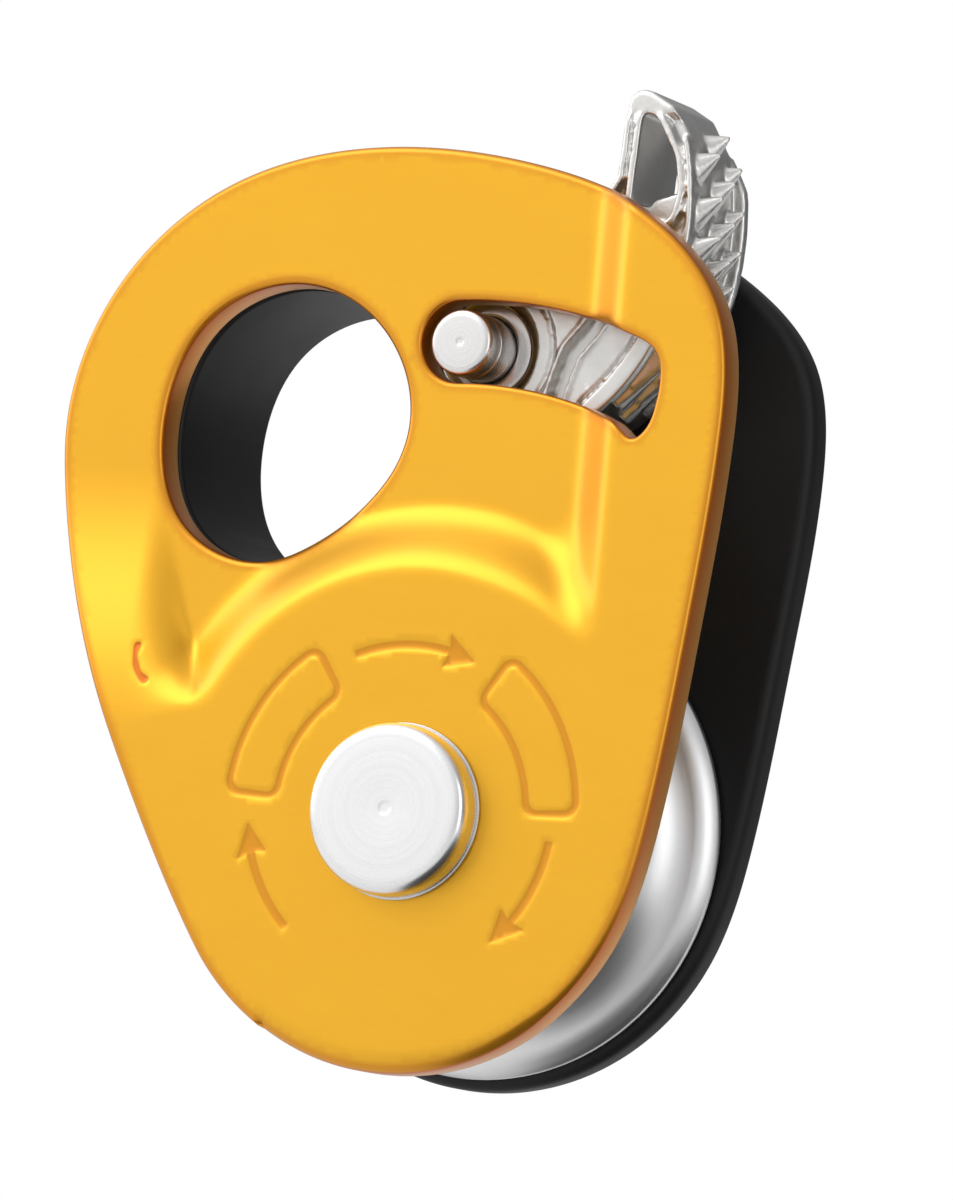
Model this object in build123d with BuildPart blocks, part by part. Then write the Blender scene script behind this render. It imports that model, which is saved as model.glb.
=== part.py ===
from build123d import *
import os
from math import cos, radians, sin

# Progress-capture rope pulley. Millimetres: +Z up, +X to the right, +Y from the gold plate to the black one.
# The origin is on the sheave's axle, at the middle of the rope groove.

os.makedirs("parts", exist_ok=True)

# Driving dimensions
sheave_width = 14.0
groove_bottom_radius = 12.5
groove_section_radius = 6.0
flange_radius = 18.4
plate_thickness = 3.0
plate_gap = 0.3                      # running gap between the sheave and each plate
step_depth = 3.0                     # how far the upper part of the swing plate is set back
bottom_radius = 19.2                 # plate outline round the axle
pivot_height = 35.3                  # cam axle above the sheave axle
swing_gap = 0.2                      # gap between the swing plate and what it passes over

# Depths along Y, front to back
raised_front = -(sheave_width / 2 + plate_gap + plate_thickness)
raised_inner = raised_front + plate_thickness
sunk_front = raised_inner
sunk_inner = sunk_front + step_depth
boss_front = sunk_inner + swing_gap
rear_inner = sheave_width / 2 + plate_gap
rear_outer = rear_inner + plate_thickness

# Axle
head_radius = 6.4
head_height = 2.3
head_rounding = 0.9
head_washer_radius = 6.55
head_washer_thickness = 0.25
journal_radius = 5.0
bush_radius = 5.8
axle_radius = 4.0
axle_tail_radius = 3.4
tail_flare = 1.2                     # the peened tails fill countersinks in the fixed plate
journal_end = raised_inner + 0.1
running_clearance = 0.05

# Bearing, 8 x 19 x 6
bearing_radius = 9.5
bearing_width = 6.0
ball_radius = 1.5
ball_count = 10
ball_circle = 6.75
inner_race_radius = 5.9
outer_race_radius = 7.6
spacer_radius = 5.5

# Cam
cam_front = -3.8
cam_rear = 4.8
hub_radius = 5.6
hub_front = -3.0
cam_bush_radius = 4.1
cam_shaft_radius = 3.4
cam_tail_radius = 3.0
cam_sweep_radius = 15.0              # the toothed edge turns within this, below the pivot
collar_radius = 3.75
collar_front = -2.55
button_radius = 2.5
button_front = sunk_front + swing_gap
button_travel = 1.5
stem_radius = 1.2

# Attachment hole
hole_x = -13.6
hole_z = 28.8
hole_angles = [0, 45, 90, 135, 180, 225, 262, 292, 320, 340]
hole_radii = [10.0, 10.2, 10.4, 10.3, 10.1, 11.1, 10.6, 9.5, 9.2, 9.6]
boss_wall = 3.6
rope_clear_radius = 24.0             # the rope passes inside this radius
plate_edge_chamfer = 0.8


def at_depth(y):
    """Sketch plane that faces the front, at depth y."""
    return Plane.XZ.offset(-y)


def save(piece, name):
    piece.part.label = name
    export_step(piece.part, "parts/" + name + ".step")


def hole_points(grow):
    return [
        (hole_x + (r + grow) * cos(radians(a)), hole_z + (r + grow) * sin(radians(a)))
        for a, r in zip(hole_angles, hole_radii)
    ]


def plate_outline(corner_drop):
    """Outline of either side plate: an arc round the axle, then a smooth curve over the top."""
    start = bottom_radius * Vector(cos(radians(-22)), sin(radians(-22)))
    end = bottom_radius * Vector(cos(radians(212)), sin(radians(212)))
    bottom = ThreePointArc(end, (0, -bottom_radius), start)
    Spline(
        [
            start,
            (19.7, 0.0),
            (21.7, 15.0),
            (22.9, 28.0),
            (21.6, 38.5 - corner_drop),
            (15.5, 44.8 - corner_drop),
            (4.5, 48.8 - corner_drop / 2),
            (-8.0, 49.7),
            (-20.0, 46.6),
            (-28.3, 39.3),
            (-32.0, 29.0),
            (-30.4, 18.5),
            (-25.4, 6.5),
            end,
        ],
        tangents=[bottom % 1, bottom % 0],
    )


def ring(name, front, rear, inner, outer):
    """Plain ring about the sheave axle, between two depths."""
    with BuildPart() as piece:
        with BuildSketch(at_depth(rear)):
            Circle(outer)
            Circle(inner, mode=Mode.SUBTRACT)
        extrude(amount=rear - front)
    save(piece, name)


def turned(profile, centre_z=0.0):
    """Turned piece about a line along Y, from a profile of (radius, depth) corners."""
    with BuildPart() as piece:
        with BuildSketch(Plane.XY.offset(centre_z)):
            Polygon(*profile, align=None)
        revolve(axis=Axis((0, 0, centre_z), (0, 1, 0)))
    return piece


# Fixed side plate, one forging with the boss that lines the attachment hole

stop_pin_x = 5.7
stop_pin_z = pivot_height + 9.15
stop_pin_radius = 1.2
stop_pin_chamfer = 0.3
spring_leg_radius = 0.5
spring_radius = 4.95
spring_wire = 0.4
hub_clearance = 0.6
sweep_floor = 1.0                    # the boss is cut for the cam's sweep up to this far below the pivot
blank = 140                          # larger than the whole object

with BuildPart() as fixed_side_plate:
    with BuildSketch(at_depth(rear_outer)):
        with BuildLine():
            plate_outline(2.0)
        make_face()
    extrude(amount=plate_thickness)
    chamfer(fixed_side_plate.faces().sort_by(Axis.Y)[-1].outer_wire().edges(), plate_edge_chamfer)
    with BuildSketch(at_depth(rear_inner)):
        with BuildLine():
            Spline(hole_points(boss_wall), periodic=True)
        make_face()
        Circle(rope_clear_radius, mode=Mode.SUBTRACT)
        with Locations((0, pivot_height)):
            Circle(hub_radius + hub_clearance, mode=Mode.SUBTRACT)
        with BuildSketch(mode=Mode.SUBTRACT):
            with Locations((0, pivot_height)):
                Circle(cam_sweep_radius)
            with Locations((0, pivot_height - sweep_floor)):
                Rectangle(blank, blank, align=(Align.CENTER, Align.MIN), mode=Mode.SUBTRACT)
    extrude(amount=rear_inner - boss_front)
    with BuildSketch(at_depth(rear_outer)):
        with BuildLine():
            Spline(hole_points(0), periodic=True)
        make_face()
    extrude(amount=rear_outer - boss_front + 1, mode=Mode.SUBTRACT)
    with BuildSketch(at_depth(rear_outer)):
        Circle(axle_tail_radius)
        with Locations((0, pivot_height)):
            Circle(cam_tail_radius)
        with Locations((stop_pin_x, stop_pin_z)):
            Circle(stop_pin_radius)
        with Locations((-spring_radius, pivot_height)):
            Circle(spring_leg_radius)
    extrude(amount=plate_thickness, mode=Mode.SUBTRACT)
    for centre_z, radius in ((0, axle_tail_radius), (pivot_height, cam_tail_radius)):
        with BuildSketch(Plane.XY.offset(centre_z)):
            Polygon(
                (0, rear_outer),
                (radius + tail_flare, rear_outer),
                (radius, rear_outer - tail_flare),
                (0, rear_outer - tail_flare),
                align=None,
            )
        revolve(axis=Axis((0, 0, centre_z), (0, 1, 0)), mode=Mode.SUBTRACT)
save(fixed_side_plate, "fixed_side_plate")

# Swing side plate, stamped: the part over the sheave and the right flank stand forward of the rest

step_x = 12.6
step_radius = 20.8
step_wall = 1.8
slot_half_width = 3.1
slot_end_angle = 61.5
slot_corner = 1.2
step_left_end = [(-18, -blank / 2), (-18, 7), (-22.5, 9.5), (-32, 17)]


def sunk_area(grow):
    """Area of the swing plate that is set back, from the step outwards."""
    Rectangle(blank, blank)
    Circle(step_radius - grow, mode=Mode.SUBTRACT)
    with Locations((step_x + grow, -blank / 2)):
        Rectangle(blank, blank, align=(Align.MIN, Align.MIN), mode=Mode.SUBTRACT)
    left_end = [(x, z - grow) for x, z in step_left_end]
    far = -blank / 2
    Polygon(*left_end, (far, left_end[-1][1]), (far, far), align=None, mode=Mode.SUBTRACT)


with BuildPart() as swing_side_plate:
    with BuildSketch(at_depth(sunk_inner)):
        with BuildLine():
            plate_outline(0)
        make_face()
    extrude(amount=sunk_inner - raised_front)
    with BuildSketch(at_depth(sunk_front)):
        sunk_area(-step_wall / 2)
    extrude(amount=2 * step_depth, mode=Mode.SUBTRACT)
    with BuildSketch(at_depth(sunk_inner + step_depth)):
        Rectangle(blank, blank)
        with BuildSketch(mode=Mode.SUBTRACT):
            sunk_area(step_wall / 2)
    extrude(amount=2 * step_depth, mode=Mode.SUBTRACT)
    with BuildSketch(at_depth(sunk_inner)) as slot:
        with BuildLine():
            outer_arc = CenterArc((0, 0), pivot_height + slot_half_width, slot_end_angle, 90 - slot_end_angle)
            inner_arc = CenterArc((0, 0), pivot_height - slot_half_width, slot_end_angle, 90 - slot_end_angle)
            ThreePointArc(outer_arc @ 1, (-slot_half_width, pivot_height), inner_arc @ 1)
            Line(inner_arc @ 0, outer_arc @ 0)
        make_face()
        fillet(slot.vertices().sort_by(Axis.X)[-2:], slot_corner)
        with BuildLine():
            Spline(hole_points(0), periodic=True)
        make_face()
        Circle(bush_radius)
    extrude(amount=sunk_inner - raised_front, mode=Mode.SUBTRACT)
save(swing_side_plate, "swing_side_plate")

# Axle, turned in one with its head, and the rings on it

head_rear = raised_front - running_clearance - head_washer_thickness
head_front = head_rear - head_height

axle = turned(
    [
        (0, head_front),
        (head_radius - head_rounding, head_front),
        (head_radius - 0.3 * head_rounding, head_front + 0.3 * head_rounding),
        (head_radius, head_front + head_rounding),
        (head_radius, head_rear),
        (journal_radius, head_rear),
        (journal_radius, journal_end),
        (axle_radius, journal_end),
        (axle_radius, rear_inner),
        (axle_tail_radius, rear_inner),
        (axle_tail_radius, rear_outer - tail_flare),
        (axle_tail_radius + tail_flare, rear_outer),
        (0, rear_outer),
    ],
)
save(axle, "axle")

ring("head_washer", head_rear, head_rear + head_washer_thickness, journal_radius, head_washer_radius)
ring("plate_bush", raised_front, raised_inner, journal_radius + running_clearance, bush_radius)
ring("front_spacer", journal_end, -bearing_width / 2, axle_radius, spacer_radius)
ring("rear_spacer", bearing_width / 2, rear_inner, axle_radius, spacer_radius)

# Sheave, with a shoulder in its bore that the bearing is pressed against

sheave_shoulder = 8.6
rim_chamfer = 0.2

with BuildPart() as sheave:
    with BuildSketch(Plane.XY):
        with Locations((sheave_shoulder, -sheave_width / 2)):
            Rectangle(flange_radius - sheave_shoulder, sheave_width, align=(Align.MIN, Align.MIN))
        with Locations((sheave_shoulder, -bearing_width / 2)):
            Rectangle(
                bearing_radius - sheave_shoulder,
                sheave_width,
                align=(Align.MIN, Align.MIN),
                mode=Mode.SUBTRACT,
            )
        with Locations((groove_bottom_radius + groove_section_radius, 0)):
            Circle(groove_section_radius, mode=Mode.SUBTRACT)
    revolve(axis=Axis.Y)
    chamfer(sheave.edges().filter_by(GeomType.CIRCLE).group_by(SortBy.RADIUS)[-1], rim_chamfer)
save(sheave, "sheave")

# Ball bearing

raceway = ball_radius + 0.02
pocket_clearance = 0.06
shield_thickness = 0.35
shield_inset = 0.25
shield_clearance = 0.12
cage_half_width = 1.9
cage_half_wall = 0.55


def bearing_ring(name, inner, outer):
    with BuildPart() as piece:
        with BuildSketch(Plane.XY):
            with Locations((inner, 0)):
                Rectangle(outer - inner, bearing_width, align=(Align.MIN, Align.CENTER))
            with Locations((ball_circle, 0)):
                Circle(raceway, mode=Mode.SUBTRACT)
        revolve(axis=Axis.Y)
    save(piece, name)


bearing_ring("bearing_inner_ring", axle_radius, inner_race_radius)
bearing_ring("bearing_outer_ring", outer_race_radius, bearing_radius)

with BuildPart() as bearing_balls:
    with Locations(Plane.XZ):
        with PolarLocations(ball_circle, ball_count):
            Sphere(ball_radius)
save(bearing_balls, "bearing_balls")

with BuildPart() as bearing_cage:
    with BuildSketch(at_depth(cage_half_width)):
        Circle(ball_circle + cage_half_wall)
        Circle(ball_circle - cage_half_wall, mode=Mode.SUBTRACT)
    extrude(amount=2 * cage_half_width)
    with Locations(Plane.XZ):
        with PolarLocations(ball_circle, ball_count):
            Cylinder(
                ball_radius + pocket_clearance,
                2 * ball_radius + 1,
                rotation=(0, 90, 0),
                mode=Mode.SUBTRACT,
            )
save(bearing_cage, "bearing_cage")

shield_outer_face = bearing_width / 2 - shield_inset
for shield_name, shield_front in (
    ("bearing_front_shield", -shield_outer_face),
    ("bearing_rear_shield", shield_outer_face - shield_thickness),
):
    ring(
        shield_name,
        shield_front,
        shield_front + shield_thickness,
        inner_race_radius + shield_clearance,
        outer_race_radius,
    )

# Cam: hub, blade with a window, and rows of pointed teeth on the curved edge

tooth_height = 2.3
tooth_base = 1.05
tooth_point = 0.15                   # radius left at a tooth's point
tooth_root = 0.9                     # how far a tooth's cone starts below the curved edge
tooth_lean = 24                      # degrees, towards the tip
tooth_rows = [(-2.4, 0.0), (0.5, 4.0), (3.4, 0.0)]
tooth_angles = range(-16, 44, 8)
counterbore_radius = 4.4
counterbore_depth = 2.3
spring_hole_depth = 1.5


def from_pivot(points):
    return [(x, pivot_height + z) for x, z in points]


def edge_radius(angle):
    """Distance from the pivot to the toothed edge of the body, at an angle above +X."""
    return 13.7 + 0.135 * angle + 0.00115 * angle * angle


def edge_point(angle, grow=0.0):
    r = edge_radius(angle) + grow
    return (r * cos(radians(angle)), r * sin(radians(angle)))


def tooth_places():
    for depth, shift in tooth_rows:
        for angle in tooth_angles:
            x, z = edge_point(angle + shift, -tooth_root)
            lean = radians(angle + shift + tooth_lean)
            yield Plane(origin=(x, depth, pivot_height + z), z_dir=(cos(lean), 0, sin(lean)))


with BuildPart() as cam:
    with BuildSketch(at_depth(cam_rear)):
        with BuildLine():
            toothed_edge = Spline(from_pivot([edge_point(a) for a in (46, 36, 24, 12, 0, -12, -25)]))
            Line(toothed_edge @ 1, *from_pivot([(2.5, -5.0)]))
            ThreePointArc(*from_pivot([(2.5, -5.0), (-hub_radius, 0.3), (-2.5, 5.0)]))
            Spline(from_pivot([(-2.5, 5.0), (3.0, 6.3), (7.6, 8.9), (10.0, 13.2), (10.3, 18.6)]))
            tip_arc = ThreePointArc(*from_pivot([(10.3, 18.6), (10.7, 19.6), (11.8, 19.7)]))
            Line(tip_arc @ 1, toothed_edge @ 0)
        make_face()
        with BuildLine():
            Polyline(
                *from_pivot([(11.7, 17.8), (11.5, 11.4), (14.5, 11.7), (14.4, 14.2), (11.7, 17.8)])
            )
        make_face(mode=Mode.SUBTRACT)
    extrude(amount=cam_rear - cam_front)
    with Locations(*tooth_places()):
        Cone(
            tooth_base,
            tooth_point,
            tooth_height + tooth_root,
            align=(Align.CENTER, Align.CENTER, Align.MIN),
        )
    with BuildSketch(at_depth(cam_rear)):
        with Locations((0, pivot_height)):
            Circle(cam_bush_radius)
    extrude(amount=cam_rear - cam_front, mode=Mode.SUBTRACT)
    with BuildSketch(at_depth(cam_front + counterbore_depth)):
        with Locations((0, pivot_height)):
            Circle(counterbore_radius)
    extrude(amount=counterbore_depth, mode=Mode.SUBTRACT)
    with BuildSketch(at_depth(hub_front)):
        with Locations((0, pivot_height)):
            Circle(hub_radius + 2 * hub_clearance)
    extrude(amount=hub_front - cam_front, mode=Mode.SUBTRACT)
    with BuildSketch(at_depth(cam_rear)):
        with Locations((spring_radius, pivot_height)):
            Circle(spring_leg_radius)
    extrude(amount=spring_hole_depth, mode=Mode.SUBTRACT)
save(cam, "cam")

# Cam axle: hollow, with a collar that sits in the hub's counterbore; the lock button slides in it

collar_rear = collar_front + 0.95
collar_chamfer = 0.2
button_bore = button_radius + running_clearance
stem_bore = stem_radius + running_clearance
spring_seat = 3.6
clip_recess_radius = 2.1
clip_front = rear_outer - 1.4
clip_thickness = 0.5
clip_clearance = 0.3
clip_mouth = 1.2

cam_axle = turned(
    [
        (button_bore, collar_front),
        (collar_radius - collar_chamfer, collar_front),
        (collar_radius, collar_front + collar_chamfer),
        (collar_radius, collar_rear),
        (cam_shaft_radius, collar_rear),
        (cam_shaft_radius, rear_inner),
        (cam_tail_radius, rear_inner),
        (cam_tail_radius, rear_outer - tail_flare),
        (cam_tail_radius + tail_flare, rear_outer),
        (clip_recess_radius, rear_outer),
        (clip_recess_radius, clip_front),
        (stem_bore, clip_front),
        (stem_bore, spring_seat),
        (button_bore, spring_seat),
    ],
    centre_z=pivot_height,
)
save(cam_axle, "cam_axle")

button_shoulder = -0.4
button_rounding = 0.8
stem_end = clip_front + clip_thickness + clip_clearance
clip_groove_depth = 0.25

lock_button = turned(
    [
        (0, button_front),
        (button_radius - button_rounding, button_front),
        (button_radius - 0.3 * button_rounding, button_front + 0.3 * button_rounding),
        (button_radius, button_front + button_rounding),
        (button_radius, button_shoulder),
        (stem_radius, button_shoulder),
        (stem_radius, clip_front),
        (stem_radius - clip_groove_depth, clip_front),
        (stem_radius - clip_groove_depth, clip_front + clip_thickness),
        (stem_radius, clip_front + clip_thickness),
        (stem_radius, stem_end),
        (0, stem_end),
    ],
    centre_z=pivot_height,
)
save(lock_button, "lock_button")

with BuildPart() as button_clip:
    with BuildSketch(at_depth(clip_front + clip_thickness)):
        with Locations((0, pivot_height)):
            Circle(clip_recess_radius - clip_clearance)
            Circle(stem_radius - clip_groove_depth, mode=Mode.SUBTRACT)
        with Locations((0, pivot_height - clip_recess_radius)):
            Rectangle(clip_mouth, 2 * clip_recess_radius, mode=Mode.SUBTRACT)
    extrude(amount=clip_thickness)
save(button_clip, "button_clip")

washer_thickness = 0.4
washer_front = rear_inner - washer_thickness
washer_radius = spring_radius - spring_leg_radius - 0.1
cam_bush = turned(
    [
        (cam_shaft_radius + running_clearance, cam_front + counterbore_depth),
        (cam_bush_radius, cam_front + counterbore_depth),
        (cam_bush_radius, washer_front - running_clearance),
        (cam_shaft_radius + running_clearance, washer_front - running_clearance),
    ],
    centre_z=pivot_height,
)
save(cam_bush, "cam_bush")

cam_washer = turned(
    [
        (cam_shaft_radius, washer_front),
        (washer_radius, washer_front),
        (washer_radius, rear_inner),
        (cam_shaft_radius, rear_inner),
    ],
    centre_z=pivot_height,
)
save(cam_washer, "cam_washer")


def coil(front, rear, radius, wire, pitch):
    """Round wire wound along Y about the cam's axle."""
    with BuildPart() as piece:
        with BuildLine() as line:
            Helix(pitch, rear - front, radius, center=(0, front, pivot_height), direction=(0, 1, 0))
        with BuildSketch(Plane(origin=line.line @ 0, z_dir=line.line % 0)):
            Circle(wire)
        sweep()
    return piece


coil_end = spring_wire + 0.1         # room for the end turns' wire
cam_spring = coil(cam_rear + coil_end, rear_inner - coil_end, spring_radius, spring_wire, 0.85)
save(cam_spring, "cam_spring")

button_spring_wire = 0.22
button_spring_radius = 1.95
button_spring_end = 0.3
button_spring = coil(
    button_shoulder + button_spring_end,
    spring_seat - button_spring_end,
    button_spring_radius,
    button_spring_wire,
    0.9,
)
save(button_spring, "button_spring")

with BuildPart() as cam_stop_pin:
    with BuildSketch(at_depth(rear_outer)):
        with Locations((stop_pin_x, stop_pin_z)):
            Circle(stop_pin_radius)
    extrude(amount=rear_outer - cam_front)
    chamfer(cam_stop_pin.faces().sort_by(Axis.Y)[0].edges(), stop_pin_chamfer)
save(cam_stop_pin, "cam_stop_pin")
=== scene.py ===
import bpy
import bmesh
import numpy as np
from math import asin, cos, hypot, pi, radians, sin, sqrt, tau
from mathutils import Matrix, Vector
from mathutils.geometry import delaunay_2d_cdt


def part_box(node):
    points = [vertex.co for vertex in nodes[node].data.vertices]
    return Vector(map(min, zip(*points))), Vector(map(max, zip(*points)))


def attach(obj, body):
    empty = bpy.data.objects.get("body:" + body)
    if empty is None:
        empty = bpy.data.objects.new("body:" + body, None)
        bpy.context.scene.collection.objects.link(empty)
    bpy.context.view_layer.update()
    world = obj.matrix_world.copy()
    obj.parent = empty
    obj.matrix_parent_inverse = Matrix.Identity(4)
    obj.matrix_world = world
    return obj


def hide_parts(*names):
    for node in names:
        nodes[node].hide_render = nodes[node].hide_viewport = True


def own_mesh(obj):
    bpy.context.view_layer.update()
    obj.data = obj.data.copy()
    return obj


# Rope pulley with a toothed cam. Shapes are worked out in millimetres and turned into metres in newPiece.
# X is to the right, Z up, and Y goes from the gold plate in front to the black plate behind.

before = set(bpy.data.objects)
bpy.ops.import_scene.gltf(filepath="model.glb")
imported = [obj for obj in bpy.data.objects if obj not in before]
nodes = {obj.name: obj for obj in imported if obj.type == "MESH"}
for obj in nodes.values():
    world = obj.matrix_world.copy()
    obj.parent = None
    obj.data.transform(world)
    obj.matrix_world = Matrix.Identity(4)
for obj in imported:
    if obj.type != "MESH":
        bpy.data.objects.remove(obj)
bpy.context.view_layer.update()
mm = 0.001
print("frame loaded with", len(nodes), "nodes")


def boxOf(node):  # lowest and highest corner of a CAD node, in millimetres
    low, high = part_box(node)
    return low / mm, high / mm


goldFront = boxOf("swing_side_plate")[0].y
blackRear = boxOf("fixed_side_plate")[1].y
headLow, headHigh = boxOf("axle")
buttonLow, buttonHigh = boxOf("lock_button")
pivotZ = (buttonLow.z + buttonHigh.z) / 2  # the cam axle is straight above the sheave axle
plateThick = 3.0


# Lines in the plane of the plates

def evenLoop(points, spacing):  # the same closed line with its points evenly spaced
    p = np.array(points, float)
    closed = np.vstack([p, p[:1]])
    run = np.concatenate([[0], np.cumsum(np.linalg.norm(np.diff(closed, axis=0), axis=1))])
    at = np.linspace(0, run[-1], max(8, int(round(run[-1] / spacing))), endpoint=False)
    return np.stack([np.interp(at, run, closed[:, 0]), np.interp(at, run, closed[:, 1])], 1)


def smoothLoop(points, spacing):  # closed cubic spline through the points
    p = np.array(points, float)
    n = len(p)
    after = np.roll(p, -1, 0)
    chord = np.linalg.norm(after - p, axis=1)
    before = np.roll(chord, 1)
    system = np.zeros((n, n))
    for i in range(n):
        system[i, i - 1] += before[i]
        system[i, i] += 2 * (before[i] + chord[i])
        system[i, (i + 1) % n] += chord[i]
    slope = (after - p) / chord[:, None]
    bend = np.linalg.solve(system, 6 * (slope - np.roll(slope, 1, 0)))
    bendAfter = np.roll(bend, -1, 0)
    fine = []
    for i in range(n):
        for t in np.linspace(0, chord[i], 40, endpoint=False):
            rest = chord[i] - t
            curve = (bend[i] * rest ** 3 + bendAfter[i] * t ** 3) / (6 * chord[i])
            start = (p[i] / chord[i] - bend[i] * chord[i] / 6) * rest
            end = (after[i] / chord[i] - bendAfter[i] * chord[i] / 6) * t
            fine.append(curve + start + end)
    return evenLoop(fine, spacing)


def arcPoints(radius, start, end, count, x=0.0, z=0.0):
    angles = np.radians(np.linspace(start, end, count))
    return [(x + radius * cos(a), z + radius * sin(a)) for a in angles]


def turnedWay(loop, anticlockwise):
    x, z = loop[:, 0], loop[:, 1]
    area = np.sum(x * np.roll(z, -1) - z * np.roll(x, -1))
    return loop if (area > 0) == anticlockwise else loop[::-1]


def outlineOf(points, spacing):  # evenly spaced, with the material inside
    return turnedWay(evenLoop(points, spacing), True)


def leftNormals(loop):
    along = np.roll(loop, -1, 0) - np.roll(loop, 1, 0)
    along = along / np.linalg.norm(along, axis=1)[:, None]
    return np.stack([-along[:, 1], along[:, 0]], 1)


def insideLoop(loop, x, z):
    inside = np.zeros(len(x), bool)
    for (ax, az), (bx, bz) in zip(loop, np.roll(loop, -1, 0)):
        if az != bz:  # each side crossed turns the answer round
            inside ^= ((az > z) != (bz > z)) & (x < (bx - ax) * (z - az) / (bz - az) + ax)
    return inside


def distanceTo(loop, x, z):  # to the nearest point of a finely walked line
    best = np.full(len(x), 1e9)
    for px, pz in loop:
        best = np.minimum(best, (x - px) ** 2 + (z - pz) ** 2)
    return np.sqrt(best)


def smoothStep(t):
    t = np.clip(t, 0, 1)
    return t * t * (3 - 2 * t)


def near(distance, reach, soft):  # 1 nearer than the reach, falling to 0 over the soft width
    return smoothStep((reach - distance) / soft)


def smoothMin(a, b, blend):
    h = np.clip(0.5 + 0.5 * (b - a) / blend, 0, 1)
    return b * (1 - h) + a * h - blend * h * (1 - h)


# Pieces

def linked(name, data):  # a new object in the scene
    thing = bpy.data.objects.new(name, data)
    bpy.context.scene.collection.objects.link(thing)
    return thing


def newPiece(name, verts, faces, material, paintedShade=None):
    mesh = bpy.data.meshes.new(name)
    mesh.from_pydata([tuple(float(c) * mm for c in v) for v in verts], [], [tuple(f) for f in faces])
    # paintedShade is a per-point amount of painted shade, which the gold finish turns into darker orange
    if paintedShade is not None:
        layer = mesh.attributes.new("paintedShade", "FLOAT", "POINT")
        layer.data.foreach_set("value", np.array(paintedShade, np.float32))
    mesh.materials.append(material)
    mesh.polygons.foreach_set("use_smooth", [True] * len(mesh.polygons))
    return linked(name, mesh)


def facesOut(piece, merge=1e-7):
    bm = bmesh.new()
    bm.from_mesh(piece.data)
    bmesh.ops.remove_doubles(bm, verts=bm.verts, dist=merge)
    bmesh.ops.recalc_face_normals(bm, faces=bm.faces)
    bm.to_mesh(piece.data)
    bm.free()
    return piece


def place(piece, body, slot, *replaced):
    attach(piece, body)
    if replaced:
        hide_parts(*replaced)
    return piece


def turned(name, profile, material, x=0.0, z=0.0, around=160):  # profile of (radius, depth) corners
    verts = []
    for radius, depth in profile:
        for k in range(around):
            a = tau * k / around
            verts.append((x + radius * cos(a), depth, z + radius * sin(a)))
    faces = []
    for j in range(len(profile) - 1):
        for k in range(around):
            a, b = j * around + k, j * around + (k + 1) % around
            faces.append((a, b, b + around, a + around))
    return facesOut(newPiece(name, verts, faces, material), 1e-6)


def rounded(corners, steps=5):  # profile corners of (radius, depth, rounding), as points along the arcs
    points = []
    for i, (r, y, rounding) in enumerate(corners):
        if rounding <= 0 or i in (0, len(corners) - 1):
            points.append((r, y))
            continue
        here = Vector((r, y))
        back = (Vector(corners[i - 1][:2]) - here).normalized()
        on = (Vector(corners[i + 1][:2]) - here).normalized()
        for k in range(steps + 1):
            t = k / steps
            start, end = here + back * rounding, here + on * rounding
            q = start * (1 - t) ** 2 + here * 2 * t * (1 - t) + end * t ** 2
            points.append((q.x, q.y))
    return points


# Node trees, and the shader groups for grain, turning marks and worn edges that the finishes share

def newTree(kind, name, inputs, outputs):  # with its input sockets and its output sockets
    tree = bpy.data.node_groups.new(name, kind)
    for label, socket, value in inputs:
        made = tree.interface.new_socket(label, in_out="INPUT", socket_type="NodeSocket" + socket)
        if value is not None:
            made.default_value = value
    for label, socket in outputs:
        tree.interface.new_socket(label, in_out="OUTPUT", socket_type="NodeSocket" + socket)
    return tree, tree.nodes.new("NodeGroupInput").outputs, tree.nodes.new("NodeGroupOutput").inputs


def feed(tree, value, socket):  # a value is set, and a socket is linked
    if isinstance(value, bpy.types.NodeSocket):
        tree.links.new(value, socket)
    else:
        socket.default_value = value


def fed(tree, node, inputs):
    for name, value in inputs.items():
        feed(tree, value, node.inputs[name.replace("_", " ")])
    return node


def addNode(tree, kind, **inputs):
    return fed(tree, tree.nodes.new(kind), inputs)


def mathNode(tree, operation, a, b=None):
    n = tree.nodes.new("ShaderNodeMath")
    n.operation = operation
    for socket, value in zip(n.inputs, (a, b)):
        if value is not None:
            feed(tree, value, socket)
    return n.outputs[0]


def noiseNode(tree, vector, scale, detail=2.0, roughness=0.5):
    n = addNode(tree, "ShaderNodeTexNoise", Vector=vector, Scale=scale, Detail=detail, Roughness=roughness)
    return n.outputs["Fac"]


def stretched(tree, vector, scale, location=(0, 0, 0)):
    return addNode(tree, "ShaderNodeMapping", Vector=vector, Scale=scale, Location=location).outputs["Vector"]


def makeGrainGroup():  # long fine lines along X, with a little mottling
    g, enter, leave = newTree("ShaderNodeTree", "straightGrain", [
        ("Vector", "Vector", None), ("Mottling", "Float", 0.3)], [("Height", "Float"), ("Mask", "Float")])
    lines = noiseNode(g, stretched(g, enter["Vector"], (260, 3000, 5200)), 1.0, 3.0, 0.6)
    patches = noiseNode(g, stretched(g, enter["Vector"], (90, 200, 260)), 1.0, 3.0)
    soft = mathNode(g, "MULTIPLY", patches, enter["Mottling"])
    hard = mathNode(g, "MULTIPLY", lines, mathNode(g, "SUBTRACT", 1.0, enter["Mottling"]))
    g.links.new(lines, leave["Height"])
    g.links.new(mathNode(g, "ADD", soft, hard), leave["Mask"])
    return g


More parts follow.
